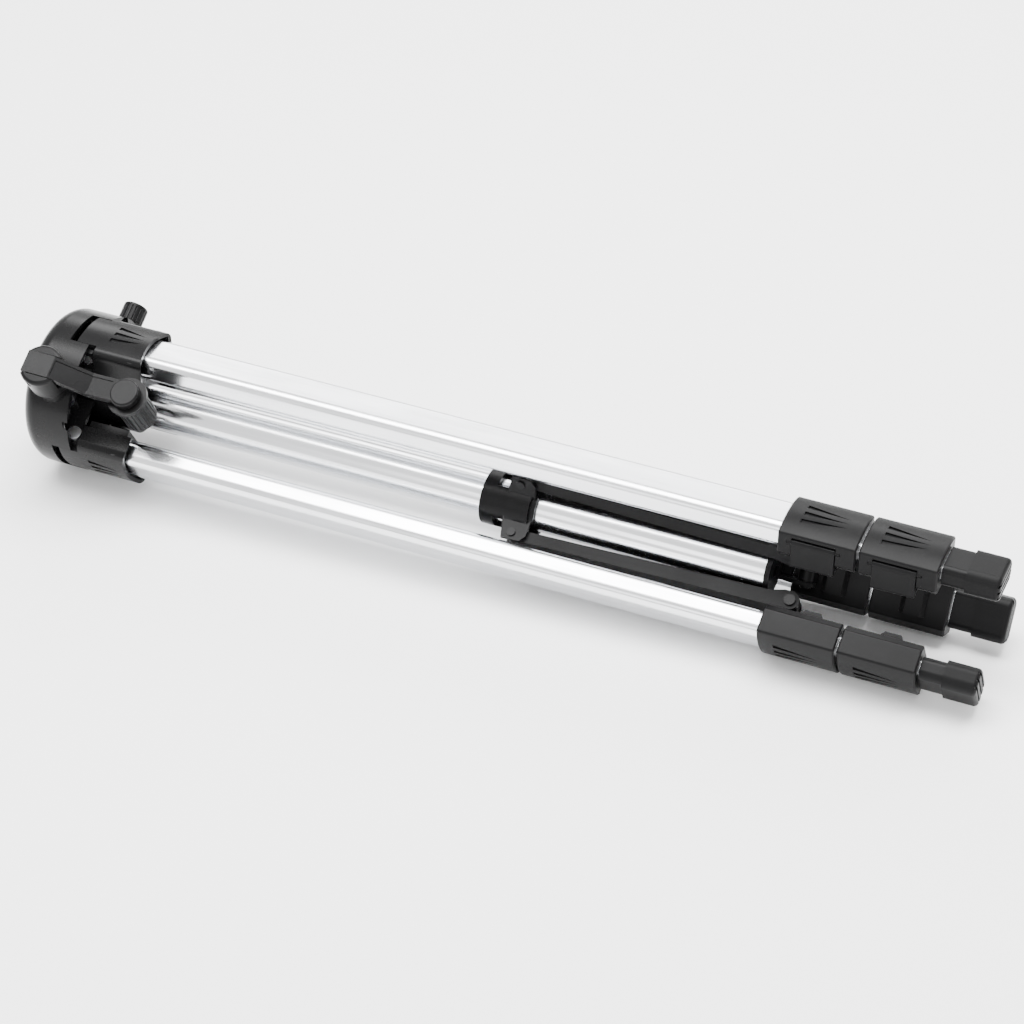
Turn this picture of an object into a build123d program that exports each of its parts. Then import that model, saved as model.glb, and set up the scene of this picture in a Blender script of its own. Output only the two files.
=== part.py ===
from build123d import *
import os
from math import acos, asin, atan2, cos, degrees, hypot, pi, radians, sin, sqrt, tan

# Folding three-leg tripod for a laser level, lying folded on legs "front" and "rear".
# It is drawn about its own axis: +X runs from the head to the feet, and each leg is drawn
# with its outward direction along +Z, then turned about X to its place.

# ---- driving dimensions, millimetres and degrees ----
LEG_ANGLES = {"top": 0.0, "front": 120.0, "rear": 240.0}
FIT = 0.06                    # running clearance on a hinge pin
SLIDE_GAP = 0.4               # clearance between sliding tubes
GAP = 0.4                     # clearance between plastic parts that pass each other

HUB_RADIUS = 45.4
HUB_WALL = 3.0
HUB_FLOOR = 2.0
HUB_WALL_LENGTH = 12.4
CAP_HEIGHT = 19.0
CAP_EDGE = 9.0
CAP_WALL = 2.6
SLEEVE_RADIUS = 17.0
SLEEVE_LENGTH = 38.0
EAR_THICKNESS = 2.4
EAR_INNER = 21.0
EAR_LENGTH = 15.0
EAR_NOSE = 5.2
EAR_REACH = 42.0

HINGE_X = 12.0
HINGE_RADIUS = 34.0
HINGE_PIN = 3.0

COLUMN_RADIUS = 11.0
COLUMN_WALL = 1.2
COLUMN_LENGTH = 414.0
GUIDE_WALL = 1.1
GUIDE_START = 14.0
GUIDE_END = 419.0
GUIDE_BEAD_X = 409.0

TOOTH_PITCH = pi              # circular pitch of a module 1 rack
PINION_TEETH = 12
PINION_WIDTH = 4.6
RACK_WIDTH = 5.2
RACK_START = -8.0
RACK_TEETH = 88
RACK_TIP = COLUMN_RADIUS - 0.1
ADDENDUM = 0.8
DEDENDUM = 1.0
BACKLASH = 0.2
RACK_BASE = 3.2

HEAD_RADIUS = 22.0
HEAD_THICKNESS = 5.0
PAD_THICKNESS = 1.2
STUD_RADIUS = 7.94
STUD_SHOULDER = 4.2
STUD_THREAD = 5.0
THREAD_PITCH = 2.31

LEG_WIDTH = 25.3
LEG_DEPTH = 15.1
LEG_CORNER = 5.2
LEG_CENTRE = 33.7
TUBE_WALL = 1.2
BRACKET_HALF_WIDTH = 18.4
BRACKET_CORNER = 6.0
BRACKET_LOW = 28.5
BRACKET_START = 17.0
SOCKET_START = 18.2
BRACKET_MIDDLE_END = 45.0
BRACKET_TIP = 47.6
BRACKET_BITE = 66.0
TONGUE_START = 4.4
TONGUE_HALF_WIDTH = 12.8
BRACKET_RADIUS = 45.2
BRACKET_SKIN = 2.4

LOCK_RADIUS = 44.0
LOCK_HALF_WIDTH = 16.5
LOCK_INNER = 23.4
LOCK_LENGTH = 42.8
LOCK_GAP = 1.4
TUBE_SEAT = 7.0
UPPER_LOCK_START = 426.6
LEVER_LENGTH = 23.6
LEVER_START = 8.0
LEVER_PIN = 1.3
LEVER_PIN_Z = 35.4
LEVER_THICKNESS = 2.8
LEVER_BARREL = 2.0
LEVER_HEM = 7.0
LEVER_NOTCH = 3.4

MIDDLE_TOP = 30.0
LOWER_TOP = 34.0
SLEEVE_FOOT_LENGTH = 13.0
FOOT_LENGTH = 18.5
FOOT_WIDTH = 25.5
FOOT_DEPTH = 15.6
FOOT_CORNER = 5.6
SLEEVE_INSET = 1.3

COLLAR_START = 254.6
COLLAR_LENGTH = 32.0
COLLAR_RADIUS = 15.6
COLLAR_RING = 8.0
CHEEK_START = 268.5
COLLAR_PIVOT_X = 277.0
COLLAR_PIVOT_RADIUS = 20.5
BRACE_PIVOT_X = 436.0
BRACE_PIVOT_RADIUS = 16.0
BRACE_HALF_WIDTH = 6.2
BRACE_SIDE = 2.3
BRACE_WEB = 2.4
BRACE_END_RADIUS = 3.2
BRACE_DEPTH_NARROW = 6.4
BRACE_DEPTH_WIDE = 10.5
BRACE_PIN = 2.0

CRANK_ANGLE = 30.0            # the crank shaft leans this far from leg "top" towards leg "front"
SHAFT_RADIUS = 3.5
BOSS_RADIUS = 11.0
BOSS_END = 46.4
CRANK_HEAD_RADIUS = 12.5
CRANK_HEAD_START = 46.9
CRANK_HEAD_END = 64.3
ARM_PIVOT_X = -4.0
ARM_PIVOT_HEIGHT = 60.0
ARM_PIN = 2.0
ARM_BARREL = 4.4
ARM_WIDTH = 13.2
ARM_THICKNESS = 3.0
ARM_LIP = 1.6
ARM_LIP_DEPTH = 5.4
ARM_LINE = ((-9.4, 65.2), (7.0, 64.6), (28.5, 54.6), (50.0, 55.2))
ARM_END_RADIUS = 8.4
KNOB_X = 50.0
KNOB_LENGTH = 24.4
KNOB_RADIUS = 9.6
KNOB_FLANGE_RADIUS = 11.6
KNOB_FLANGE = 2.6
KNOB_RIBS = 24
SPINDLE_RADIUS = 2.5

LOCK_KNOB_X = 7.0
LOCK_KNOB_ANGLE = -60.0       # between legs "top" and "rear"
LOCK_KNOB_RADIUS = 7.3
LOCK_KNOB_START = 46.2
LOCK_KNOB_END = 57.0
LOCK_SCREW_RADIUS = 3.0
LOCK_KNOB_RIBS = 18

CAP_SCREW_RADIUS = 33.0
CAP_SCREW_ANGLES = (78.0, 198.0, 318.0)

# ---- sizes that follow from them ----
PINION_PITCH_RADIUS = PINION_TEETH * TOOTH_PITCH / (2 * pi)
RACK_PITCH_LINE = RACK_TIP - ADDENDUM
SHAFT_OFFSET = RACK_PITCH_LINE + PINION_PITCH_RADIUS
ARM_TAIL = hypot(ARM_LINE[0][0] - ARM_PIVOT_X, ARM_LINE[0][1] - ARM_PIVOT_HEIGHT)
CRANK_SLOT_FLOOR = ARM_PIVOT_HEIGHT - ARM_TAIL - 0.6
SHAFT_END = CRANK_SLOT_FLOOR - 0.4
KNOB_TOP = ARM_LINE[3][1] - ARM_LIP_DEPTH - GAP
GUIDE_INNER = COLUMN_RADIUS + SLIDE_GAP
GUIDE_RADIUS = GUIDE_INNER + GUIDE_WALL
COLUMN_TOP = -CAP_HEIGHT - 0.6
UPPER_LOCK_END = UPPER_LOCK_START + LOCK_LENGTH
LOWER_LOCK_START = UPPER_LOCK_END + LOCK_GAP
LOWER_LOCK_END = LOWER_LOCK_START + LOCK_LENGTH
FOOT_SLEEVE_START = LOWER_LOCK_END + 0.6
FOOT_START = FOOT_SLEEVE_START + SLEEVE_FOOT_LENGTH
STEP_IN = TUBE_WALL + SLIDE_GAP


# ---- plain shapes ----
def box(x0, x1, y0, y1, z0, z1):
    lengths = (x1 - x0, y1 - y0, z1 - z0)
    return Pos((x0 + x1) / 2, (y0 + y1) / 2, (z0 + z1) / 2) * Box(*lengths)


def along_x(radius, x0, x1, y=0.0, z=0.0):
    low = (Align.CENTER, Align.CENTER, Align.MIN)
    return Pos(x0, y, z) * Rot(0, 90, 0) * Cylinder(radius, x1 - x0, align=low)


def along_y(radius, y0, y1, x=0.0, z=0.0):
    low = (Align.CENTER, Align.CENTER, Align.MIN)
    return Pos(x, y0, z) * Rot(-90, 0, 0) * Cylinder(radius, y1 - y0, align=low)


def along_z(radius, z0, z1, x=0.0, y=0.0):
    low = (Align.CENTER, Align.CENTER, Align.MIN)
    return Pos(x, y, z0) * Cylinder(radius, z1 - z0, align=low)


def turned(shape, degrees_about_x):
    return Rot(degrees_about_x, 0, 0) * shape


def three(shape):
    return [turned(shape, angle) for angle in LEG_ANGLES.values()]


def leg_profile(inset, x):
    """Rounded oblong section of a leg tube, drawn across X."""
    width = LEG_WIDTH - 2 * inset
    depth = LEG_DEPTH - 2 * inset
    corner = LEG_CORNER - inset * 0.9
    return Plane.YZ.offset(x) * Pos(0, LEG_CENTRE) * RectangleRounded(width, depth, corner)


def leg_bar(inset, x0, x1):
    return extrude(leg_profile(inset, x0), amount=x1 - x0)


def leg_tube(inset, x0, x1):
    return leg_bar(inset, x0, x1) - leg_bar(inset + TUBE_WALL, x0 - 1, x1 + 1)


def grip_marks(x0, length, skin_radius, spread):
    """Three tapered grooves that close in towards the feet, cut into a curved cover."""
    depth = 0.9
    marks = []
    for side in (-1, 0, 1):
        y0 = side * spread
        y1 = side * spread * 0.55
        outline = Polygon((x0, y0 - 1.5), (x0 + length, y1), (x0, y0 + 1.5), align=None)
        marks.append(Pos(0, 0, skin_radius * 0.8) * extrude(outline, amount=skin_radius * 0.4))
    cutter = Compound(children=marks)
    return [mark - along_x(skin_radius - depth, x0 - 5, x0 + length + 5) for mark in cutter.solids()]


# ---- hub, cap and column ----
def crank_place():
    """Frame of the crank shaft: local +Z outwards along the shaft, local +X along the tripod."""
    lean = Rot(CRANK_ANGLE, 0, 0)
    return lean * Pos(0, -SHAFT_OFFSET, 0)


def hub_shell():
    outer = along_x(HUB_RADIUS, 0, HUB_WALL_LENGTH)
    bowl = outer - along_x(HUB_RADIUS - HUB_WALL, HUB_FLOOR, HUB_WALL_LENGTH + 1)
    body = bowl + along_x(SLEEVE_RADIUS, 0, SLEEVE_LENGTH)
    slot_half = TONGUE_HALF_WIDTH + GAP
    slot = box(HUB_FLOOR, 60, -slot_half, slot_half, EAR_INNER, 60)
    ear_outer = slot_half + EAR_THICKNESS
    pair = box(0.5, EAR_LENGTH, -ear_outer, ear_outer, 12, EAR_REACH) & along_x(EAR_REACH, 0, EAR_LENGTH)
    pair = pair + along_y(EAR_NOSE, -ear_outer, ear_outer, HINGE_X, HINGE_RADIUS)
    pair = pair - box(HUB_FLOOR, 60, -slot_half, slot_half, 0, 60)
    for shape in three(pair):
        body = body + shape
    for shape in three(slot + box(-1, HUB_FLOOR + 1, -slot_half, slot_half, 36, 60)):
        body = body - shape
    shaft_place = crank_place()
    boss = shaft_place * along_z(BOSS_RADIUS, 30, BOSS_END)
    bearing = shaft_place * box(-5.5, 1, -5.2, 4.4, 7.5, 11.5)
    tail = shaft_place * box(-5.5, 1, -4.6, 4.6, -11.5, -7.5)
    body = body + (boss & box(0, 60, -90, 90, -90, 90)) + bearing + tail
    body = body - shaft_place * along_z(SHAFT_RADIUS + FIT, -9.5, 60)
    body = body - shaft_place * box(-8, 8, -8, 8, -PINION_WIDTH / 2 - 0.8, PINION_WIDTH / 2 + 0.8)
    knob_boss = along_z(LOCK_SCREW_RADIUS + 3.2, SLEEVE_RADIUS - 2, HUB_RADIUS - 1, LOCK_KNOB_X)
    knob_boss = turned(knob_boss, LOCK_KNOB_ANGLE)
    body = body + (knob_boss & box(0, 60, -90, 90, -90, 90))
    body = body - turned(along_z(LOCK_SCREW_RADIUS + FIT, 5, 60, LOCK_KNOB_X), LOCK_KNOB_ANGLE)
    for shape in three(along_y(HINGE_PIN, -30, 30, HINGE_X, HINGE_RADIUS)):
        body = body - shape
    for angle in CAP_SCREW_ANGLES:
        body = body - turned(along_x(1.8, -1, 20, 0, CAP_SCREW_RADIUS), angle)
    body = body - along_x(GUIDE_INNER, -20, 60)
    body = body - along_x(GUIDE_RADIUS, GUIDE_START, 60)
    return body


def hub_cap():
    outer = along_x(HUB_RADIUS, -CAP_HEIGHT, 0)
    crown = outer.edges().filter_by(GeomType.CIRCLE).sort_by(Axis.X)[0]
    outer = fillet(crown, CAP_EDGE)
    inner = along_x(HUB_RADIUS - CAP_WALL, -CAP_HEIGHT + CAP_WALL, 1)
    rim = inner.edges().filter_by(GeomType.CIRCLE).sort_by(Axis.X)[0]
    inner = fillet(rim, CAP_EDGE - CAP_WALL)
    body = outer - inner
    for angle in CAP_SCREW_ANGLES:
        body = body + turned(along_x(3.2, -CAP_HEIGHT + 1, 0, 0, CAP_SCREW_RADIUS), angle)
    shaft_place = crank_place()
    boss = shaft_place * along_z(BOSS_RADIUS, 36, BOSS_END)
    body = body + (boss & box(-60, 0, -90, 90, -90, 90))
    body = body - shaft_place * along_z(SHAFT_RADIUS + FIT, -9.5, 60)
    collar = along_x(GUIDE_INNER + 3.4, -CAP_HEIGHT + 1, -CAP_HEIGHT + 8)
    body = body + collar
    for angle in CAP_SCREW_ANGLES:
        body = body - turned(along_x(1.2, -13, 1, 0, CAP_SCREW_RADIUS), angle)
    return body - along_x(GUIDE_INNER, -60, 60)


def cap_screws():
    screws = []
    for angle in CAP_SCREW_ANGLES:
        head = along_x(3.0, HUB_FLOOR, HUB_FLOOR + 2.2, 0, CAP_SCREW_RADIUS)
        shank = along_x(1.2, -12, HUB_FLOOR, 0, CAP_SCREW_RADIUS)
        drive = box(HUB_FLOOR + 1.2, HUB_FLOOR + 3, -2.2, 2.2, CAP_SCREW_RADIUS - 0.4, CAP_SCREW_RADIUS + 0.4)
        screws.append(turned(head + shank - drive, angle))
    return Compound(children=screws)


def hinge_pin():
    reach = TONGUE_HALF_WIDTH + GAP + EAR_THICKNESS + 0.3
    pin = along_y(HINGE_PIN, -reach, reach, HINGE_X, HINGE_RADIUS)
    head = along_y(HINGE_PIN + 1.2, reach, reach + 1.4, HINGE_X, HINGE_RADIUS)
    return pin + head


def guide_tube():
    tube = along_x(GUIDE_RADIUS, GUIDE_START, GUIDE_END) - along_x(GUIDE_INNER, 0, GUIDE_END + 1)
    groove = Pos(GUIDE_BEAD_X, 0, 0) * Rot(0, 90, 0) * Torus(GUIDE_RADIUS + 0.9, 1.5)
    return tube - groove


def guide_plug():
    rim = along_x(GUIDE_RADIUS, GUIDE_END, GUIDE_END + 3)
    spigot = along_x(GUIDE_INNER, GUIDE_END - 6, GUIDE_END)
    body = rim + spigot - along_x(GUIDE_INNER - 2.2, GUIDE_END - 7, GUIDE_END + 1)
    return body - along_x(3.5, GUIDE_END, GUIDE_END + 4)


def column_tube():
    end = COLUMN_TOP + COLUMN_LENGTH
    tube = along_x(COLUMN_RADIUS, COLUMN_TOP, end)
    tube = tube - along_x(COLUMN_RADIUS - COLUMN_WALL, COLUMN_TOP - 1, end + 1)
    rack_end = RACK_START + RACK_TEETH * TOOTH_PITCH
    slot = box(RACK_START, rack_end, -RACK_WIDTH / 2, RACK_WIDTH / 2, 0, 20)
    return tube - turned(slot, LEG_ANGLES["front"])


def column_rack():
    """Straight rack let into the column's slot, its tips just inside the column's surface."""
    flank = tan(radians(20))
    half_pitch_width = TOOTH_PITCH / 4 - BACKLASH / 2
    tip_half = half_pitch_width - ADDENDUM * flank
    root_half = half_pitch_width + DEDENDUM * flank
    root = RACK_PITCH_LINE - DEDENDUM
    end = RACK_START + RACK_TEETH * TOOTH_PITCH
    points = [(RACK_START, root - RACK_BASE), (RACK_START, root)]
    for tooth in range(RACK_TEETH):
        middle = (tooth - 2) * TOOTH_PITCH
        if middle - root_half <= RACK_START:
            continue
        if middle + root_half >= end:
            continue
        points += [(middle - root_half, root), (middle - tip_half, RACK_TIP)]
        points += [(middle + tip_half, RACK_TIP), (middle + root_half, root)]
    points += [(end, root), (end, root - RACK_BASE)]
    outline = Plane.XZ * Polygon(*points, align=None)
    rack = extrude(outline, amount=RACK_WIDTH / 2, both=True)
    return turned(rack, LEG_ANGLES["front"])


def column_bush():
    end = COLUMN_TOP + COLUMN_LENGTH
    ring = along_x(GUIDE_INNER - 0.08, end, end + 6)
    spigot = along_x(COLUMN_RADIUS - COLUMN_WALL, end - 8, end)
    return ring + spigot - along_x(COLUMN_RADIUS - COLUMN_WALL - 2, end - 9, end + 7)


def head_plate():
    top = COLUMN_TOP
    plate = along_x(HEAD_RADIUS, top - HEAD_THICKNESS, top)
    plate = chamfer(plate.edges().filter_by(GeomType.CIRCLE), 0.8)
    spigot = along_x(COLUMN_RADIUS - COLUMN_WALL, top, top + 9)
    return plate + spigot


def head_pad():
    front = COLUMN_TOP - HEAD_THICKNESS
    ring = along_x(HEAD_RADIUS - 1.4, front - PAD_THICKNESS, front)
    return ring - along_x(STUD_RADIUS + 2.5, front - 5, front + 1)


def mount_stud():
    """Male five-eighths stud: a smooth shoulder, then thread crests, on the head plate's axis."""
    base = -(COLUMN_TOP - HEAD_THICKNESS)
    root = STUD_RADIUS - 1.2
    seat = base + PAD_THICKNESS
    start = seat + STUD_SHOULDER
    points = [(0, base), (STUD_RADIUS + 2.1, base), (STUD_RADIUS + 2.1, seat), (STUD_RADIUS, seat)]
    points += [(STUD_RADIUS, start)]
    turns = int(STUD_THREAD / THREAD_PITCH)
    for turn in range(turns):
        low = start + turn * THREAD_PITCH
        points += [(root, low + 0.7), (root, low + 1.0), (STUD_RADIUS, low + 1.7)]
        points += [(STUD_RADIUS, low + THREAD_PITCH)]
    top = start + turns * THREAD_PITCH
    points += [(STUD_RADIUS - 1.0, top + 0.9), (0, top + 0.9)]
    outline = Plane.XZ * Polygon(*points, align=None)
    stud = revolve(outline, Axis.Z)
    return Rot(0, -90, 0) * stud


# ---- crank ----
def involute_point(base_radius, roll, start_angle):
    angle = start_angle + roll - atan2(roll, 1)
    radius = base_radius * sqrt(1 + roll * roll)
    return radius, angle


def pinion_shaft():
    """Pinion with twelve involute teeth, in one piece with its shaft, along local +Z."""
    base = PINION_PITCH_RADIUS * cos(radians(20))
    tip = PINION_PITCH_RADIUS + ADDENDUM - 0.1
    root = PINION_PITCH_RADIUS - DEDENDUM
    pitch_roll = tan(radians(20))
    half_tooth = (TOOTH_PITCH / 2 - BACKLASH) / 2 / PINION_PITCH_RADIUS
    half_base = half_tooth + pitch_roll - radians(20)
    tip_roll = sqrt((tip / base) ** 2 - 1)
    points = []
    for tooth in range(PINION_TEETH):
        # a space faces the rack, whose middle tooth stands at x = 0
        middle = (tooth + 0.5) * 2 * pi / PINION_TEETH - pi / 2
        points.append((root, middle - half_base))
        for step in range(5):
            roll = tip_roll * step / 4
            radius, turn = involute_point(base, roll, 0)
            points.append((radius, middle - half_base + turn))
        for step in range(4, -1, -1):
            roll = tip_roll * step / 4
            radius, turn = involute_point(base, roll, 0)
            points.append((radius, middle + half_base - turn))
        points.append((root, middle + half_base))
    outline = Polygon(*[(r * cos(a), r * sin(a)) for r, a in points], align=None)
    gear = Pos(0, 0, -PINION_WIDTH / 2) * extrude(outline, amount=PINION_WIDTH)
    shaft = along_z(SHAFT_RADIUS, -9.2, -PINION_WIDTH / 2)
    shaft = shaft + along_z(SHAFT_RADIUS, PINION_WIDTH / 2, SHAFT_END)
    flat = box(-5, 5, SHAFT_RADIUS - 0.7, 5, CRANK_HEAD_START, SHAFT_END + 1)
    return crank_place() * (gear + shaft - flat)


def crank_head():
    body = along_z(CRANK_HEAD_RADIUS, CRANK_HEAD_START, CRANK_HEAD_END)
    body = fillet(body.edges().filter_by(GeomType.CIRCLE).sort_by(Axis.Z)[-1], 2.2)
    half_slot = ARM_WIDTH / 2 + GAP
    body = body - box(-20, 20, -half_slot, half_slot, CRANK_SLOT_FLOOR, 80)
    body = body - along_z(SHAFT_RADIUS + FIT, CRANK_HEAD_START - 1, CRANK_SLOT_FLOOR + 1)
    body = body - along_y(ARM_PIN, -20, 20, ARM_PIVOT_X, ARM_PIVOT_HEIGHT)
    return crank_place() * body


def crank_hinge_pin():
    reach = sqrt(CRANK_HEAD_RADIUS ** 2 - (abs(ARM_PIVOT_X) + ARM_PIN) ** 2) - 0.3
    return crank_place() * along_y(ARM_PIN, -reach, reach, ARM_PIVOT_X, ARM_PIVOT_HEIGHT)


def crank_arm():
    """Joggled channel handle, its outer face following ARM_LINE, folded along the tripod."""
    half = ARM_WIDTH / 2
    outer = [(x, z) for x, z in ARM_LINE]
    under = [(x, z - ARM_THICKNESS) for x, z in reversed(outer)]
    deep = [(x, z - ARM_LIP_DEPTH) for x, z in reversed(outer)]
    plate = extrude(Plane.XZ * Polygon(*(outer + under), align=None), amount=half, both=True)
    edges = plate.edges().filter_by(Axis.Y).group_by(Axis.X)[1:3]
    plate = fillet([edge for group in edges for edge in group], 1.2)
    lips = extrude(Plane.XZ * Polygon(*(outer + deep), align=None), amount=half, both=True)
    lips = lips & box(11.0, KNOB_X, -half, half, 0, 63.5)
    lips = lips - box(6, KNOB_X - 4, -half + ARM_LIP, half - ARM_LIP, 0, 90)
    top = ARM_LINE[3][1]
    end = along_z(ARM_END_RADIUS, top - ARM_LIP_DEPTH, top, KNOB_X)
    end = fillet(end.edges().filter_by(GeomType.CIRCLE).sort_by(Axis.Z)[-1], 1.2)
    barrel = along_y(ARM_BARREL, -half, half, ARM_PIVOT_X, ARM_PIVOT_HEIGHT)
    body = plate + lips + end + barrel
    panel = Plane.XZ * Polygon(
        (8.0, 65.2), (28.5, 55.6), (42.0, 56.0), (42.0, 54.4), (28.5, 54.0), (8.0, 63.5), align=None)
    body = body - extrude(panel, amount=half - 1.9, both=True)
    body = body - along_z(SPINDLE_RADIUS, 0, top - 2.4, KNOB_X)
    body = body - along_y(ARM_PIN + FIT, -20, 20, ARM_PIVOT_X, ARM_PIVOT_HEIGHT)
    return crank_place() * body


def knob_spindle():
    low = KNOB_TOP - KNOB_FLANGE - KNOB_LENGTH + 0.4
    pin = along_z(SPINDLE_RADIUS, low + 2.2, ARM_LINE[3][1] - 2.4, KNOB_X)
    head = along_z(SPINDLE_RADIUS + 1.6, low, low + 2.2, KNOB_X)
    return crank_place() * (pin + head - box(KNOB_X - 5, KNOB_X + 5, -0.5, 0.5, low - 1, low + 0.8))


def crank_knob():
    flange_low = KNOB_TOP - KNOB_FLANGE
    low = flange_low - KNOB_LENGTH
    flange = along_z(KNOB_FLANGE_RADIUS, flange_low, KNOB_TOP, KNOB_X)
    grip = along_z(KNOB_RADIUS, low, flange_low, KNOB_X)
    body = fillet((flange + grip).edges().filter_by(GeomType.CIRCLE).sort_by(Axis.Z)[0], 1.6)
    for rib in range(KNOB_RIBS):
        angle = 2 * pi * rib / KNOB_RIBS
        x = KNOB_X + KNOB_RADIUS * cos(angle)
        y = KNOB_RADIUS * sin(angle)
        body = body - along_z(0.7, low - 1, flange_low - 1.2, x, y)
    body = body - along_z(SPINDLE_RADIUS + FIT, low - 1, KNOB_TOP + 1, KNOB_X)
    body = body - along_z(SPINDLE_RADIUS + 2.2, low - 1, low + 3.2, KNOB_X)
    return crank_place() * body


# ---- column lock ----
def lock_knob():
    body = along_z(LOCK_KNOB_RADIUS, LOCK_KNOB_START, LOCK_KNOB_END, LOCK_KNOB_X)
    body = fillet(body.edges().filter_by(GeomType.CIRCLE).sort_by(Axis.Z)[-1], 1.0)
    for rib in range(LOCK_KNOB_RIBS):
        angle = 2 * pi * rib / LOCK_KNOB_RIBS
        x = LOCK_KNOB_X + LOCK_KNOB_RADIUS * cos(angle)
        y = LOCK_KNOB_RADIUS * sin(angle)
        body = body - along_z(0.65, LOCK_KNOB_START - 1, LOCK_KNOB_END - 1.6, x, y)
    body = body - along_z(LOCK_SCREW_RADIUS, LOCK_KNOB_START - 1, LOCK_KNOB_END - 3, LOCK_KNOB_X)
    return turned(body, LOCK_KNOB_ANGLE)


def lock_screw():
    tip = COLUMN_RADIUS + 0.35
    body = along_z(LOCK_SCREW_RADIUS, tip, LOCK_KNOB_END - 3, LOCK_KNOB_X)
    return turned(body, LOCK_KNOB_ANGLE)


# ---- leg pieces, drawn with the leg outwards along +Z ----
def leg_bracket():
    """Leg cover with rounded long edges and straight walls, its socket, and a tongue at the hinge."""
    half = BRACKET_HALF_WIDTH
    cover = box(BRACKET_START, BRACKET_TIP, -half, half, BRACKET_LOW, 60)
    cover = cover & along_x(BRACKET_RADIUS, 0, BRACKET_TIP + 5)
    cover = fillet(cover.edges().filter_by(Axis.X).group_by(Axis.Z)[-1], BRACKET_CORNER)
    inside = box(0, 90, -half + BRACKET_SKIN, half - BRACKET_SKIN, 0, 60)
    cover = cover - (inside & along_x(BRACKET_RADIUS - BRACKET_SKIN, 0, 90))
    cover = cover - along_z(BRACKET_BITE, 0, 60, BRACKET_MIDDLE_END + BRACKET_BITE)
    socket_y = LEG_WIDTH / 2 + 2.4
    socket = box(SOCKET_START, BRACKET_MIDDLE_END - 2, -socket_y, socket_y, 23.6, 43.4)
    tongue = box(TONGUE_START, SOCKET_START + 1, -TONGUE_HALF_WIDTH, TONGUE_HALF_WIDTH, 26.6, 60)
    body = tongue + socket
    for x in (SOCKET_START, BRACKET_MIDDLE_END - 6):
        body = body + box(x, x + 2.8, -half + 1, half - 1, BRACKET_LOW + 0.5, 41)
    body = (body & along_x(BRACKET_RADIUS - 0.5, SOCKET_START, 60)) + cover
    body = body + (tongue & along_x(BRACKET_RADIUS, 0, 60))
    body = body - leg_bar(0, 20, 60)
    body = body - along_y(HINGE_PIN + FIT, -30, 30, HINGE_X, HINGE_RADIUS)
    for mark in grip_marks(22, 19, BRACKET_RADIUS, 6.0):
        body = body - mark
    return body


def upper_tube():
    return leg_tube(0, 20, UPPER_LOCK_START + TUBE_SEAT)


def middle_tube():
    return leg_tube(STEP_IN, MIDDLE_TOP, LOWER_LOCK_START + TUBE_SEAT)


def lower_tube():
    return leg_tube(2 * STEP_IN, LOWER_TOP, FOOT_START + 8)


def lock_block(x0):
    """Curved lock housing round a leg, open inside for the lever, without its tube passages."""
    x1 = x0 + LOCK_LENGTH
    profile = Plane.YZ.offset(x0) * Polygon(
        (-LOCK_HALF_WIDTH, 60), (-LOCK_HALF_WIDTH, 27.5), (-12.6, LOCK_INNER), (12.6, LOCK_INNER),
        (LOCK_HALF_WIDTH, 27.5), (LOCK_HALF_WIDTH, 60), align=None)
    body = extrude(profile, amount=LOCK_LENGTH) & along_x(LOCK_RADIUS, x0, x1)
    long_edges = body.edges().filter_by(Axis.X)
    body = fillet(long_edges, 1.4)
    body = chamfer(body.faces().sort_by(Axis.X)[0].edges(), 0.8)
    body = chamfer(body.faces().sort_by(Axis.X)[-1].edges(), 0.8)
    lever0 = x0 + LEVER_START
    lever1 = lever0 + LEVER_LENGTH
    recess = box(lever0 - GAP, lever1 + GAP, -30, -LOCK_HALF_WIDTH + 3.4, 0, LEVER_PIN_Z + LEVER_NOTCH)
    under = box(lever0 - GAP, lever1 + GAP, -30, -LEVER_HEM + GAP, 0, LOCK_INNER + 0.6)
    body = body - recess - under
    body = body - along_x(LEVER_PIN + FIT, lever0 - 3, lever1 + 3, -LOCK_HALF_WIDTH + 1.0, LEVER_PIN_Z)
    for mark in grip_marks(x0 + 9, 25, LOCK_RADIUS, 6.4):
        body = body - mark
    return body


def brace_block(x_pivot):
    """Tongue under the upper lock that carries the brace's outer pin."""
    half = BRACE_HALF_WIDTH - BRACE_SIDE - GAP
    tongue = box(x_pivot - 5, x_pivot + 4.6, -half, half, BRACE_PIVOT_RADIUS, LOCK_INNER + 2)
    tip = along_y(4.6, -half, half, x_pivot, BRACE_PIVOT_RADIUS)
    return tongue + tip


def upper_lock():
    body = lock_block(UPPER_LOCK_START)
    body = body - leg_bar(0, UPPER_LOCK_START - 1, UPPER_LOCK_START + TUBE_SEAT)
    body = body - leg_bar(STEP_IN - SLIDE_GAP / 2, UPPER_LOCK_START, UPPER_LOCK_END + 1)
    body = body + brace_block(BRACE_PIVOT_X)
    return body - along_y(BRACE_PIN, -20, 20, BRACE_PIVOT_X, BRACE_PIVOT_RADIUS)


def lower_lock():
    body = lock_block(LOWER_LOCK_START)
    body = body - leg_bar(STEP_IN, LOWER_LOCK_START - 1, LOWER_LOCK_START + TUBE_SEAT)
    return body - leg_bar(2 * STEP_IN - SLIDE_GAP / 2, LOWER_LOCK_START, LOWER_LOCK_END + 1)


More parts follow.
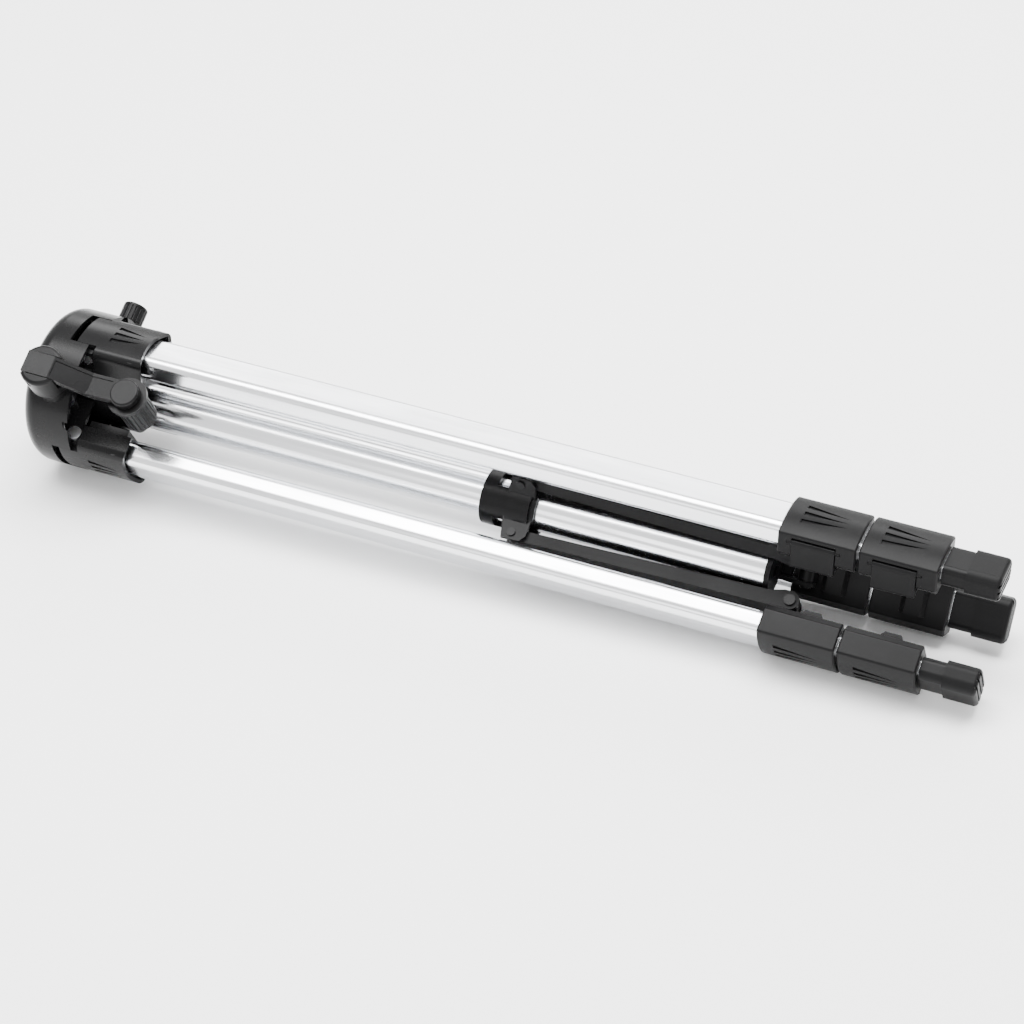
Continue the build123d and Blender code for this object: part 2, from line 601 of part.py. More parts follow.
def lock_lever(x0):
    """Flap on the side of a lock that wraps under it, with moulded pivots at its top."""
    lever0 = x0 + LEVER_START
    lever1 = lever0 + LEVER_LENGTH
    pin_y = -LOCK_HALF_WIDTH + 1.0
    outer_y = -LOCK_HALF_WIDTH - 0.9
    inner_y = outer_y + LEVER_THICKNESS
    side = box(lever0, lever1, outer_y, inner_y, LOCK_INNER - 3.4, LEVER_PIN_Z)
    barrel = along_x(LEVER_BARREL, lever0, lever1, pin_y, LEVER_PIN_Z)
    wrap = box(lever0, lever1, outer_y, -LEVER_HEM, LOCK_INNER - 3.4, LOCK_INNER - 0.6)
    body = side + barrel + wrap
    lower = body.edges().filter_by(Axis.X).group_by(Axis.Z)[0]
    body = fillet(lower, 1.2)
    tab = Plane.XZ * Polygon(
        (lever0 + 8.6, LOCK_INNER - 0.6), (lever0 + 11.6, LOCK_INNER - 3.8), (lever1 - 3, LOCK_INNER - 3.8),
        (lever1 - 1, LOCK_INNER - 0.6), align=None)
    tab = extrude(tab, amount=30, both=True) & box(lever0, lever1, -LEVER_HEM - 1, -LEVER_HEM + 15, 0, 60)
    body = body + tab
    return body + along_x(LEVER_PIN, lever0 - 2.6, lever1 + 2.6, pin_y, LEVER_PIN_Z)


def foot_sleeve():
    body = leg_bar(SLEEVE_INSET, FOOT_SLEEVE_START, FOOT_START)
    return body - leg_bar(2 * STEP_IN, FOOT_SLEEVE_START - 1, FOOT_START + 1)


def foot():
    x1 = FOOT_START + FOOT_LENGTH
    outline = RectangleRounded(FOOT_WIDTH, FOOT_DEPTH, FOOT_CORNER)
    profile = Plane.YZ.offset(FOOT_START) * Pos(0, LEG_CENTRE) * outline
    body = extrude(profile, amount=FOOT_LENGTH)
    body = fillet(body.faces().sort_by(Axis.X)[-1].edges(), 2.4)
    body = body - leg_bar(2 * STEP_IN, FOOT_START - 1, FOOT_START + 8)
    for groove in range(3):
        z = LEG_CENTRE - 4 + groove * 4
        body = body - box(x1 - 1.2, x1 + 1, -20, 20, z - 0.7, z + 0.7)
    return body


def brace():
    """Channel strut: forked at both ends, deeper towards its outer pin."""
    dx = BRACE_PIVOT_X - COLLAR_PIVOT_X
    dr = BRACE_PIVOT_RADIUS - COLLAR_PIVOT_RADIUS
    length = hypot(dx, dr)
    tilt = degrees(atan2(dr, dx))
    half = BRACE_HALF_WIDTH
    narrow = BRACE_DEPTH_NARROW / 2
    wide = BRACE_DEPTH_WIDE / 2
    knee = GUIDE_END + 4.5 - COLLAR_PIVOT_X
    side = Plane.XZ * Polygon(
        (0, -narrow), (knee, -narrow), (length - 4, -wide), (length, -wide),
        (length, wide), (0, narrow), align=None)
    body = extrude(side, amount=half, both=True)
    body = body + along_y(narrow, -half, half) + along_y(wide, -half, half, length)
    inner = half - BRACE_SIDE
    channel = Plane.XZ * Polygon(
        (12, -20), (length - 14, -20), (length - 14, wide - BRACE_WEB - 0.4),
        (12, narrow - BRACE_WEB), align=None)
    body = body - extrude(channel, amount=inner, both=True)
    body = body - box(length - 9.4, length + 20, -inner, inner, -20, 20)
    body = body - box(length - 14.5, length - 9, -inner, inner, -20, wide - BRACE_WEB)
    body = body - along_y(BRACE_PIN + FIT, -20, 20, length)
    return Pos(COLLAR_PIVOT_X, 0, COLLAR_PIVOT_RADIUS) * Rot(0, -tilt, 0) * body


def brace_pin():
    reach = BRACE_HALF_WIDTH + 0.3
    pin = along_y(BRACE_PIN, -reach, reach, BRACE_PIVOT_X, BRACE_PIVOT_RADIUS)
    for side in (-1, 1):
        y = side * (BRACE_HALF_WIDTH + 0.8)
        pin = pin + along_y(BRACE_PIN + 1.1, y - 0.5, y + 0.5, BRACE_PIVOT_X, BRACE_PIVOT_RADIUS)
    return pin


def spreader_collar():
    end = COLLAR_START + COLLAR_LENGTH
    body = along_x(COLLAR_RADIUS, COLLAR_START, CHEEK_START + 3)
    body = body + along_x(COLLAR_RADIUS + 0.9, CHEEK_START + 2, end - 3)
    body = body + along_x(COLLAR_RADIUS - 0.8, end - 3, end)
    slot_half = BRACE_HALF_WIDTH + GAP
    cheek_half = slot_half + 2.2
    cheek = Plane.XZ * Polygon(
        (CHEEK_START, 10), (CHEEK_START + 3.5, 24.6), (end - 4, 24.6),
        (end - 1, 21), (end - 1, 10), align=None)
    cheeks = extrude(cheek, amount=cheek_half, both=True)
    slot = box(COLLAR_START + COLLAR_RING, 400, -slot_half, slot_half, 8, 60)
    for shape in three(cheeks):
        body = body + shape
    for shape in three(slot):
        body = body - shape
    return body - along_x(GUIDE_RADIUS + 0.3, 0, 400)


def collar_rivets():
    slot_half = BRACE_HALF_WIDTH + GAP
    rivets = []
    for side in (-1, 1):
        low = slot_half + 2.2 if side > 0 else -slot_half - 3.2
        rivets.append(along_y(2.4, low, low + 1.0, COLLAR_PIVOT_X, COLLAR_PIVOT_RADIUS))
    group = []
    for rivet in rivets:
        group += three(rivet)
    return Compound(children=group)


# ---- the whole tripod ----
pieces = {
    "hub_shell": hub_shell(),
    "hub_cap": hub_cap(),
    "cap_screws": cap_screws(),
    "guide_tube": guide_tube(),
    "guide_tube_plug": guide_plug(),
    "column_tube": column_tube(),
    "column_rack": column_rack(),
    "column_bush": column_bush(),
    "head_plate": head_plate(),
    "head_pad": head_pad(),
    "mount_stud": mount_stud(),
    "pinion_shaft": pinion_shaft(),
    "crank_head": crank_head(),
    "crank_hinge_pin": crank_hinge_pin(),
    "crank_arm": crank_arm(),
    "knob_spindle": knob_spindle(),
    "crank_knob": crank_knob(),
    "lock_knob": lock_knob(),
    "lock_screw": lock_screw(),
    "spreader_collar": spreader_collar(),
    "collar_rivets": collar_rivets(),
}
leg_pieces = {
    "bracket": leg_bracket(),
    "hinge_pin": hinge_pin(),
    "upper_tube": upper_tube(),
    "upper_lock": upper_lock(),
    "upper_lever": lock_lever(UPPER_LOCK_START),
    "middle_tube": middle_tube(),
    "lower_lock": lower_lock(),
    "lower_lever": lock_lever(LOWER_LOCK_START),
    "lower_tube": lower_tube(),
    "foot_sleeve": foot_sleeve(),
    "foot": foot(),
    "brace": brace(),
    "brace_pin": brace_pin(),
}
for leg, angle in LEG_ANGLES.items():
    for name, shape in leg_pieces.items():
        pieces[leg + "_" + name] = turned(shape, angle)

# it lies on the hub's rim and on the lower locks of two legs, so its feet hang a little lower
lock_edge = asin(LOCK_HALF_WIDTH / LOCK_RADIUS)
lock_low = LOCK_RADIUS * sin(radians(30) + lock_edge)
TILT = degrees(atan2(HUB_RADIUS - lock_low, LOWER_LOCK_END - HUB_WALL_LENGTH))
lie_down = Rot(0, TILT, 0)

# the origin is the middle of the folded tripod's box, at the level it lies on
boxes = [(lie_down * piece).bounding_box() for piece in pieces.values()]
middle_x = (min(b.min.X for b in boxes) + max(b.max.X for b in boxes)) / 2
middle_y = (min(b.min.Y for b in boxes) + max(b.max.Y for b in boxes)) / 2
floor_z = min(b.min.Z for b in boxes)
place = Pos(-middle_x, -middle_y, -floor_z) * lie_down
print("tilt and shift", TILT, -middle_x, -middle_y, -floor_z)
print("shaft offset", SHAFT_OFFSET, "pinion pitch radius", PINION_PITCH_RADIUS)

os.makedirs("parts", exist_ok=True)
for name, piece in pieces.items():
    export_step(place * piece, "parts/" + name + ".step")
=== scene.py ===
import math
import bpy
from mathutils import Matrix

bl_info = {
    "name": "Laser level tripod looks",
    "version": (1, 0, 0),
    "blender": (4, 5, 0),
    "location": "View3D > Sidebar > Tripod",
    "description": "Finishes for a folding laser level tripod, with its stage, lights and camera",
    "category": "Object",
}

import bpy
from mathutils import Matrix, Vector

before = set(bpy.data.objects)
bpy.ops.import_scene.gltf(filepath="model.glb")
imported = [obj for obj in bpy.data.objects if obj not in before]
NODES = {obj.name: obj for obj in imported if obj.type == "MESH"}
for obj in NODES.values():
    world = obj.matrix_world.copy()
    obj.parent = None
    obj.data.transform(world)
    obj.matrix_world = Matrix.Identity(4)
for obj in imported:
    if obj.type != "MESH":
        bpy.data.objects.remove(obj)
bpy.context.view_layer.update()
LEGS = ("top", "front", "rear")

# how the folded tripod lies: its own axis dips this much, and its hub seam stands at this place
TILT = 1.224840474872066
SEAM = Vector((-0.2553757127193166, 0.0017328240239903074, 0.045654687451601326))
EYE = Vector((0.7704, -1.1676, 0.9944))
EYE_TURN = 23.28
EYE_HEIGHT = 38.25


EVEN_LINES = (400.0, 400.0, 400.0)   # lines of a turned or plated piece, the same in every direction
DRAWN_LINES = (3.0, 900.0, 900.0)    # lines of a drawn tube, long in its own direction

# ---------------------------------------------------------------- settings
def colour(name, description, default):
    return bpy.props.FloatVectorProperty(
        name=name, description=description, default=default, size=3, min=0.0, max=1.0, subtype="COLOR"
    )


def amount(name, description, default, high=1.0):
    return bpy.props.FloatProperty(name=name, description=description, default=default, min=0.0, max=high)


def length(name, description, default):
    return bpy.props.FloatProperty(
        name=name, description=description, default=default, min=0.0, unit="LENGTH", precision=5
    )


class TripodPlastics(bpy.types.PropertyGroup):
    """Colours and gloss of the moulded parts"""

    hub_colour: colour("Hub colour", "Black of the hub, cap and leg tops", (0.0022, 0.0022, 0.0024))
    hub_roughness: amount("Hub roughness", "Roughness of the satin hub plastic", 0.25)
    lock_colour: colour("Lock colour", "Black of the locks, levers and crank", (0.0026, 0.0026, 0.0028))
    lock_roughness: amount("Lock roughness", "Roughness of the lock plastic", 0.34)
    brace_colour: colour("Brace colour", "Dark grey of the grained braces", (0.0042, 0.0042, 0.0045))
    brace_roughness: amount("Brace roughness", "Roughness of the brace plastic", 0.46)
    black_steel_colour: colour("Black steel colour", "Black of the spreader pins", (0.0060, 0.0060, 0.0064))
    rubber_colour: colour("Rubber colour", "Colour of the feet and the head pad", (0.0028, 0.0028, 0.0030))
    rubber_roughness: amount("Rubber roughness", "Roughness of the feet and the head pad", 0.44)
    rack_colour: colour("Rack colour", "Black of the rack and the column bush", (0.010, 0.010, 0.010))
    grain_size: length("Grain size", "Size of the moulded surface's grain", 0.00035)
    dust: amount("Dust", "How much pale dust lies on the plastic", 0.012)


class TripodMetals(bpy.types.PropertyGroup):
    """Colours and gloss of the metal parts"""

    tube_colour: colour("Tube colour", "Colour of the bright leg tubes", (0.86, 0.87, 0.89))
    tube_roughness: amount("Tube roughness", "Roughness of the leg tubes", 0.20)
    column_colour: colour("Column colour", "Colour of the bright column tubes", (0.88, 0.89, 0.91))
    column_roughness: amount("Column roughness", "Roughness of the column tubes", 0.17)
    steel_colour: colour("Steel colour", "Colour of the zinc plated pins", (0.60, 0.60, 0.61))
    steel_roughness: amount("Steel roughness", "Roughness of the zinc plated pins", 0.30)
    draw_lines: amount("Draw lines", "Depth of the lines left by drawing the tubes", 0.30)


class TripodStage(bpy.types.PropertyGroup):
    """Floor, lights and camera"""

    floor_colour: colour("Floor colour", "Pale floor", (0.955, 0.955, 0.955))
    floor_size: length("Floor size", "Width of the floor", 9.0)
    sky_strength: amount("Sky strength", "Strength of the even light all round", 1.55, 10.0)
    key_power: amount("Key power", "Power of the large overhead light in watts", 140.0, 1000.0)
    side_power: amount("Side power", "Power of the light beside the camera in watts", 16.0, 1000.0)
    back_power: amount("Back power", "Power of the light behind the tripod in watts", 36.0, 1000.0)
    lens: bpy.props.FloatProperty(
        name="Lens", description="Focal length on a 36 mm sensor", default=102.6, min=10.0, unit="CAMERA"
    )


# ---------------------------------------------------------------- node building
class Nodes:
    """A short way to place and join shader nodes in one tree"""

    def __init__(self, tree):
        self.tree = tree
        self.column = 0

    def add(self, kind, inputs=None, **settings):
        node = self.tree.nodes.new(kind)
        node.location = (self.column * 190 - 1200, -(len(self.tree.nodes) % 6) * 190)
        self.column += 1
        for key, value in settings.items():
            setattr(node, key, value)
        for key, value in (inputs or {}).items():
            self.feed(node.inputs[key], value)
        return node

    def feed(self, socket, value):
        if isinstance(value, bpy.types.NodeSocket):
            self.tree.links.new(value, socket)
        else:
            socket.default_value = value

    def maths(self, operation, first, second=None, clamp=False):
        node = self.add("ShaderNodeMath", operation=operation, use_clamp=clamp)
        self.feed(node.inputs[0], first)
        if second is not None:
            self.feed(node.inputs[1], second)
        return node.outputs[0]

    def noise(self, vector, scale, detail=3.0, roughness=0.55):
        node = self.add(
            "ShaderNodeTexNoise",
            {"Vector": vector, "Scale": scale, "Detail": detail, "Roughness": roughness},
        )
        return node.outputs["Fac"]

    def stretch(self, vector, scale):
        return self.add("ShaderNodeMapping", {"Vector": vector, "Scale": scale}).outputs["Vector"]

    def ramp(self, factor, low, high, start, end):
        node = self.add("ShaderNodeMapRange", clamp=True)
        limits = {"Value": factor, "From Min": low, "From Max": high, "To Min": start, "To Max": end}
        for key, value in limits.items():
            self.feed(node.inputs[key], value)
        return node.outputs["Result"]

    def mix_colour(self, factor, first, second):
        node = self.add("ShaderNodeMix", data_type="RGBA", clamp_factor=True)
        self.feed(node.inputs["Factor"], factor)
        self.feed(node.inputs[6], first)
        self.feed(node.inputs[7], second)
        return node.outputs[2]


def new_group(name, inputs, outputs):
    group = bpy.data.node_groups.new(name, "ShaderNodeTree")
    for label, kind, default in inputs:
        socket = group.interface.new_socket(label, in_out="INPUT", socket_type=kind)
        socket.default_value = default
    for label, kind in outputs:
        group.interface.new_socket(label, in_out="OUTPUT", socket_type=kind)
    return group, Nodes(group)


def moulded_grain():
    """Fine moulded grain, slow colour drift and settled dust for plastics and rubber"""
    if "moulded grain" in bpy.data.node_groups:
        return bpy.data.node_groups["moulded grain"]
    group, n = new_group(
        "moulded grain",
        [
            ("Grain Size", "NodeSocketFloat", 0.0004),
            ("Colour", "NodeSocketColor", (0.02, 0.02, 0.02, 1.0)),
            ("Roughness", "NodeSocketFloat", 0.4),
            ("Dust", "NodeSocketFloat", 0.1),
        ],
        [("Colour", "NodeSocketColor"), ("Roughness", "NodeSocketFloat"), ("Height", "NodeSocketFloat")],
    )
    given = n.add("NodeGroupInput").outputs
    place = n.add("ShaderNodeTexCoord").outputs["Object"]
    scale = n.maths("DIVIDE", 1.0, given["Grain Size"])
    cells = n.add("ShaderNodeTexVoronoi", {"Vector": place, "Scale": scale}, feature="SMOOTH_F1")
    pits = cells.outputs["Distance"]
    fuzz = n.noise(place, n.maths("MULTIPLY", scale, 0.55), 4.0)
    drift = n.noise(place, 38.0, 3.0)
    flow = n.noise(n.stretch(place, (9.0, 60.0, 60.0)), 1.0, 4.0)
    scuff = n.noise(n.stretch(place, (700.0, 90.0, 240.0)), 1.0, 5.0, 0.7)
    up = n.add("ShaderNodeSeparateXYZ", {"Vector": n.add("ShaderNodeNewGeometry").outputs["Normal"]}).outputs["Z"]
    facing_up = n.ramp(up, 0.0, 1.0, 0.35, 1.0)
    specks = n.ramp(n.noise(place, 900.0, 5.0, 0.7), 0.56, 0.72, 0.0, 1.0)
    film = n.ramp(drift, 0.35, 0.75, 0.15, 1.0)
    dust = n.maths("MULTIPLY", n.maths("MULTIPLY", facing_up, film), given["Dust"])
    dust = n.maths("ADD", n.maths("MULTIPLY", dust, 0.35), n.maths("MULTIPLY", dust, specks), clamp=True)
    paler = n.mix_colour(n.maths("MULTIPLY", flow, 0.55), given["Colour"], (0.0065, 0.0065, 0.0068, 1.0))
    tint = n.mix_colour(dust, paler, (0.34, 0.33, 0.31, 1.0))
    rough = n.maths("ADD", given["Roughness"], n.ramp(drift, 0.3, 0.7, -0.05, 0.06))
    rough = n.maths("ADD", rough, n.ramp(scuff, 0.62, 0.74, 0.0, 0.09))
    rough = n.maths("ADD", rough, n.maths("MULTIPLY", dust, 0.4), clamp=True)
    height = n.maths("ADD", n.maths("MULTIPLY", pits, 0.7), n.maths("MULTIPLY", fuzz, 0.5))
    n.add("NodeGroupOutput", {"Colour": tint, "Roughness": rough, "Height": height})
    return group


def drawn_metal():
    """Long drawing lines, small scratches, smears and a faint cloudy tarnish for bright metal"""
    if "drawn metal" in bpy.data.node_groups:
        return bpy.data.node_groups["drawn metal"]
    group, n = new_group(
        "drawn metal",
        [
            ("Along", "NodeSocketVector", DRAWN_LINES),
            ("Colour", "NodeSocketColor", (0.85, 0.86, 0.88, 1.0)),
            ("Roughness", "NodeSocketFloat", 0.2),
            ("Lines", "NodeSocketFloat", 0.3),
        ],
        [("Colour", "NodeSocketColor"), ("Roughness", "NodeSocketFloat"), ("Height", "NodeSocketFloat")],
    )
    given = n.add("NodeGroupInput").outputs
    place = n.add("ShaderNodeTexCoord").outputs["Object"]
    drawn = n.add("ShaderNodeVectorMath", operation="MULTIPLY", inputs={0: place, 1: given["Along"]}).outputs[0]
    fine = n.noise(drawn, 1.0, 4.0)
    broad = n.noise(n.stretch(place, (1.5, 260.0, 260.0)), 1.0, 3.0)
    smear = n.noise(n.stretch(place, (14.0, 70.0, 70.0)), 1.0, 4.0, 0.6)
    scratch = n.ramp(n.noise(n.stretch(place, (60.0, 2600.0, 1900.0)), 1.0, 2.0), 0.70, 0.76, 0.0, 1.0)
    shade = n.ramp(broad, 0.3, 0.7, 0.90, 1.04)
    tone = n.add("ShaderNodeVectorMath", operation="SCALE", inputs={0: given["Colour"], "Scale": shade}).outputs[0]
    cloudy = n.mix_colour(n.ramp(smear, 0.45, 0.75, 0.0, 0.22), tone, (0.62, 0.64, 0.67, 1.0))
    worn = n.mix_colour(n.maths("MULTIPLY", scratch, 0.25), cloudy, (0.50, 0.50, 0.51, 1.0))
    rough = n.maths("ADD", given["Roughness"], n.ramp(smear, 0.3, 0.75, -0.05, 0.10))
    rough = n.maths("ADD", rough, n.maths("MULTIPLY", n.ramp(fine, 0.35, 0.65, -0.05, 0.07), given["Lines"]))
    rough = n.maths("ADD", rough, n.maths("MULTIPLY", scratch, 0.16), clamp=True)
    height = n.maths("MULTIPLY", n.maths("ADD", fine, n.maths("MULTIPLY", broad, 0.8)), given["Lines"])
    height = n.maths("SUBTRACT", height, n.maths("MULTIPLY", scratch, 0.25))
    n.add("NodeGroupOutput", {"Colour": worn, "Roughness": rough, "Height": height})
    return group


def blank_material(name):
    """A new material with only its output and a Principled shader"""
    material = bpy.data.materials.new(name)
    material.use_nodes = True
    tree = material.node_tree
    for node in list(tree.nodes):
        tree.nodes.remove(node)
    n = Nodes(tree)
    shader = n.add("ShaderNodeBsdfPrincipled")
    n.add("ShaderNodeOutputMaterial", {"Surface": shader.outputs["BSDF"]})
    return material, n, shader


def set_group(n, group, values):
    node = n.add("ShaderNodeGroup", node_tree=group)
    for key, value in values.items():
        n.feed(node.inputs[key], value)
    return node


def plastic(name, tint, roughness, grain, dust, relief, coat=0.0):
    """Moulded plastic or rubber: grain as relief, with dust and slow changes of gloss"""
    if name in bpy.data.materials:
        return bpy.data.materials[name]
    material, n, shader = blank_material(name)
    marks = set_group(
        n, moulded_grain(), {"Grain Size": grain, "Colour": (*tint, 1.0), "Roughness": roughness, "Dust": dust}
    )
    bump = n.add("ShaderNodeBump", {"Height": marks.outputs["Height"], "Strength": relief, "Distance": 0.00012})
    n.feed(shader.inputs["Base Color"], marks.outputs["Colour"])
    n.feed(shader.inputs["Roughness"], marks.outputs["Roughness"])
    n.feed(shader.inputs["Normal"], bump.outputs["Normal"])
    shader.inputs["IOR"].default_value = 1.5
    shader.inputs["Specular IOR Level"].default_value = 0.09
    shader.inputs["Coat Weight"].default_value = coat
    shader.inputs["Coat Roughness"].default_value = 0.25
    return material


def metal(name, tint, roughness, lines, along=DRAWN_LINES):
    """Bright metal with drawing lines, faint smears and scratches"""
    if name in bpy.data.materials:
        return bpy.data.materials[name]
    material, n, shader = blank_material(name)
    marks = set_group(
        n, drawn_metal(), {"Along": along, "Colour": (*tint, 1.0), "Roughness": roughness, "Lines": lines}
    )
    bump = n.add("ShaderNodeBump", {"Height": marks.outputs["Height"], "Strength": 0.10, "Distance": 0.00006})
    n.feed(shader.inputs["Base Color"], marks.outputs["Colour"])
    n.feed(shader.inputs["Roughness"], marks.outputs["Roughness"])
    n.feed(shader.inputs["Normal"], bump.outputs["Normal"])
    shader.inputs["Metallic"].default_value = 1.0
    return material


def zinc_steel(context):
    m = context.scene.tripod_metals
    return metal("zinc plated steel", m.steel_colour, m.steel_roughness, 0.25, EVEN_LINES)


def lock_plastic(context):
    s = context.scene.tripod_plastics
    return plastic("lock plastic", s.lock_colour, s.lock_roughness, s.grain_size, s.dust, 0.22)


def rubber(context):
    s = context.scene.tripod_plastics
    return plastic("foot rubber", s.rubber_colour, s.rubber_roughness, s.grain_size * 1.6, s.dust, 0.16)


# ---------------------------------------------------------------- finishing the pieces
def dress(names, material):
    """Gives pieces their material"""
    for name in names:
        piece = NODES[name]
        piece.data.materials.clear()
        piece.data.materials.append(material)


def each_leg(*kinds):
    return [leg + "_" + kind for leg in LEGS for kind in kinds]


def place_on_tripod(point):
    """A point given about the tripod's own axis, as it lies on the floor"""
    return Matrix.Rotation(math.radians(TILT), 3, "Y") @ Vector(point) + SEAM


class TRIPOD_OT_hub(bpy.types.Operator):
    """Finish the hub, its cap, the leg tops and their fasteners"""

    bl_idname = "tripod.hub"
    bl_label = "Finish hub and leg tops"

    def execute(self, context):
        s = context.scene.tripod_plastics
        satin = plastic("hub satin plastic", s.hub_colour, s.hub_roughness, s.grain_size, s.dust, 0.10, 0.10)
        dress(["hub_shell", "hub_cap"] + each_leg("bracket"), satin)
        dress(["cap_screws"] + each_leg("hinge_pin"), zinc_steel(context))
        return {"FINISHED"}


class TRIPOD_OT_column(bpy.types.Operator):
    """Finish the column, its guide tube, rack, bush and mounting head"""

    bl_idname = "tripod.column"
    bl_label = "Finish column"

    def execute(self, context):
        m = context.scene.tripod_metals
        s = context.scene.tripod_plastics
        dress(["guide_tube", "column_tube", "head_plate"],
              metal("column bright aluminium", m.column_colour, m.column_roughness, m.draw_lines))
        dress(["mount_stud"], zinc_steel(context))
        dress(["column_rack", "column_bush"],
              plastic("rack plastic", s.rack_colour, s.lock_roughness, s.grain_size, 0.0, 0.05))
        dress(["guide_tube_plug"], lock_plastic(context))
        dress(["head_pad"], rubber(context))
        return {"FINISHED"}


class TRIPOD_OT_crank(bpy.types.Operator):
    """Finish the crank, its folding handle and knob, and the column lock knob"""

    bl_idname = "tripod.crank"
    bl_label = "Finish crank and lock knob"

    def execute(self, context):
        s = context.scene.tripod_plastics
        dress(["crank_head", "crank_arm", "crank_knob", "lock_knob"],
              plastic("crank plastic", s.lock_colour, s.lock_roughness - 0.04, s.grain_size, s.dust, 0.16, 0.05))
        dress(["pinion_shaft", "crank_hinge_pin", "knob_spindle", "lock_screw"], zinc_steel(context))
        return {"FINISHED"}


class TRIPOD_OT_legs(bpy.types.Operator):
    """Finish the bright tubes of the three legs"""

    bl_idname = "tripod.legs"
    bl_label = "Finish leg tubes"

    def execute(self, context):
        m = context.scene.tripod_metals
        dress(each_leg("upper_tube", "middle_tube", "lower_tube"),
              metal("leg bright aluminium", m.tube_colour, m.tube_roughness, m.draw_lines))
        return {"FINISHED"}


class TRIPOD_OT_locks(bpy.types.Operator):
    """Finish the leg locks and their flip levers"""

    bl_idname = "tripod.locks"
    bl_label = "Finish leg locks"

    def execute(self, context):
        dress(each_leg("upper_lock", "lower_lock", "upper_lever", "lower_lever"), lock_plastic(context))
        return {"FINISHED"}


class TRIPOD_OT_spreader(bpy.types.Operator):
    """Finish the spreader collar, its braces and their pins"""

    bl_idname = "tripod.spreader"
    bl_label = "Finish spreader"

    def execute(self, context):
        s = context.scene.tripod_plastics
        dress(["spreader_collar"], lock_plastic(context))
        dress(each_leg("brace"),
              plastic("brace plastic", s.brace_colour, s.brace_roughness, s.grain_size * 1.5, s.dust, 0.45))
        dress(["collar_rivets"] + each_leg("brace_pin"),
              plastic("blackened steel", s.black_steel_colour, 0.30, s.grain_size, 0.0, 0.05))
        return {"FINISHED"}


class TRIPOD_OT_feet(bpy.types.Operator):
    """Finish the foot sleeves and rubber feet"""

    bl_idname = "tripod.feet"
    bl_label = "Finish feet"

    def execute(self, context):
        dress(each_leg("foot_sleeve"), lock_plastic(context))
        dress(each_leg("foot"), rubber(context))
        return {"FINISHED"}


def studio_light(name, place, aim, wide, high, power):
    """A soft rectangular light that faces a point"""
    bpy.ops.object.light_add(type="AREA", location=place)
    light = bpy.context.object
    light.name = name
    light.data.shape = "RECTANGLE"
    light.data.size = wide
    light.data.size_y = high
    light.data.energy = power
    way = Vector(aim) - Vector(place)
    light.rotation_euler = way.to_track_quat("-Z", "Y").to_euler()
    return light


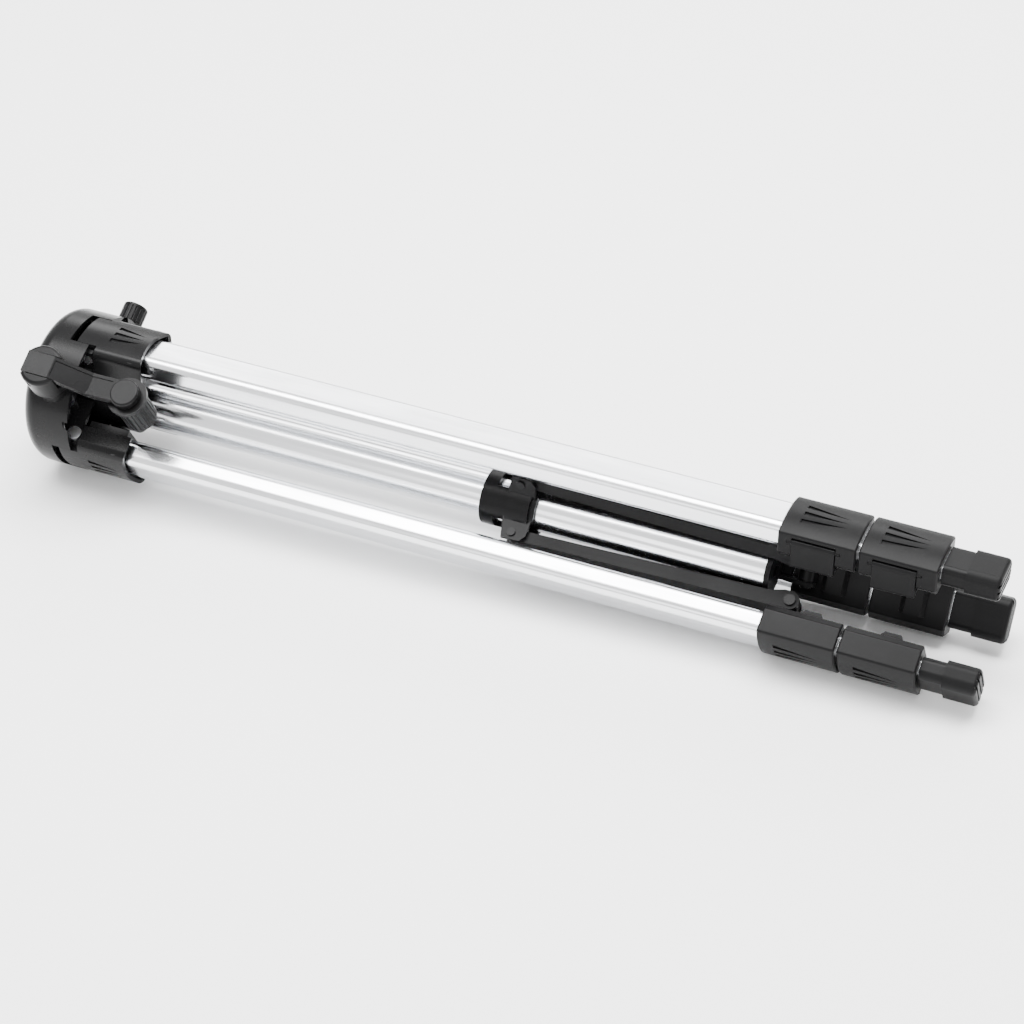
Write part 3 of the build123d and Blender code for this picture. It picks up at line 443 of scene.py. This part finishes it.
class TRIPOD_OT_stage(bpy.types.Operator):
    """Lay the pale floor, set the soft lights and place the camera"""

    bl_idname = "tripod.stage"
    bl_label = "Set the stage"

    def execute(self, context):
        s = context.scene.tripod_stage
        bpy.ops.object.select_all(action="DESELECT")
        bpy.ops.mesh.primitive_grid_add(x_subdivisions=2, y_subdivisions=2, size=s.floor_size, location=(0, 0, 0))
        floor = context.object
        floor.name = "floor"
        material, n, shader = blank_material("pale floor")
        place = n.add("ShaderNodeTexCoord").outputs["Object"]
        drift = n.noise(place, 3.0, 3.0)
        pale = tuple(c * 0.985 for c in s.floor_colour)
        n.feed(shader.inputs["Base Color"], n.mix_colour(drift, (*s.floor_colour, 1.0), (*pale, 1.0)))
        n.feed(shader.inputs["Roughness"], n.ramp(drift, 0.3, 0.7, 0.60, 0.68))
        shader.inputs["Specular IOR Level"].default_value = 0.2
        floor.data.materials.append(material)

        world = bpy.data.worlds.new("even sky")
        context.scene.world = world
        world.use_nodes = True
        sky = world.node_tree.nodes["Background"]
        sky.inputs["Color"].default_value = (1.0, 1.0, 1.0, 1.0)
        sky.inputs["Strength"].default_value = s.sky_strength

        middle = (0.0, 0.0, 0.04)
        studio_light("overhead light", (-0.1, 0.15, 1.9), middle, 2.4, 1.1, s.key_power)
        studio_light("camera side light", (0.2, -2.3, 1.1), middle, 2.2, 0.9, s.side_power)
        studio_light("back light", (-0.3, 2.0, 1.3), middle, 2.4, 0.7, s.back_power)

        tilt = Matrix.Rotation(math.radians(TILT), 3, "Y")
        turn, rise = math.radians(EYE_TURN), math.radians(EYE_HEIGHT)
        back = Vector((math.sin(turn) * math.cos(rise), -math.cos(turn) * math.cos(rise), math.sin(rise)))
        right = Vector((math.cos(turn), math.sin(turn), 0.0))
        up = back.cross(right)
        axes = Matrix((tilt @ right, tilt @ up, tilt @ back)).transposed().to_4x4()
        bpy.ops.object.camera_add()
        camera = context.object
        camera.name = "camera"
        camera.matrix_world = Matrix.Translation(place_on_tripod(EYE)) @ axes
        camera.data.lens = s.lens
        camera.data.sensor_width = 36.0
        camera.data.clip_start = 0.01
        camera.data.clip_end = 50.0
        context.scene.camera = camera
        return {"FINISHED"}


class TRIPOD_PT_sidebar(bpy.types.Panel):
    """Lists the finishes and the stage in the sidebar"""

    bl_label = "Laser level tripod"
    bl_idname = "TRIPOD_PT_sidebar"
    bl_space_type = "VIEW_3D"
    bl_region_type = "UI"
    bl_category = "Tripod"

    def draw(self, context):
        scene = context.scene
        for title, group in (
            ("Plastics", scene.tripod_plastics), ("Metals", scene.tripod_metals), ("Stage", scene.tripod_stage)
        ):
            box = self.layout.box()
            box.label(text=title)
            for key in group.__annotations__:
                box.prop(group, key)
        for operator in OPERATORS:
            self.layout.operator(operator.bl_idname)


SETTINGS = (TripodPlastics, TripodMetals, TripodStage)
OPERATORS = (
    TRIPOD_OT_hub,
    TRIPOD_OT_column,
    TRIPOD_OT_crank,
    TRIPOD_OT_legs,
    TRIPOD_OT_locks,
    TRIPOD_OT_spreader,
    TRIPOD_OT_feet,
    TRIPOD_OT_stage,
)


def register():
    for cls in SETTINGS + OPERATORS + (TRIPOD_PT_sidebar,):
        bpy.utils.register_class(cls)
    bpy.types.Scene.tripod_plastics = bpy.props.PointerProperty(type=TripodPlastics)
    bpy.types.Scene.tripod_metals = bpy.props.PointerProperty(type=TripodMetals)
    bpy.types.Scene.tripod_stage = bpy.props.PointerProperty(type=TripodStage)


def unregister():
    del bpy.types.Scene.tripod_stage
    del bpy.types.Scene.tripod_metals
    del bpy.types.Scene.tripod_plastics
    for cls in reversed(SETTINGS + OPERATORS + (TRIPOD_PT_sidebar,)):
        bpy.utils.unregister_class(cls)


def main():
    register()
    bpy.ops.tripod.hub()
    bpy.ops.tripod.column()
    bpy.ops.tripod.crank()
    bpy.ops.tripod.legs()
    bpy.ops.tripod.locks()
    bpy.ops.tripod.spreader()
    bpy.ops.tripod.feet()
    bpy.ops.tripod.stage()


if __name__ == "__main__":
    main()
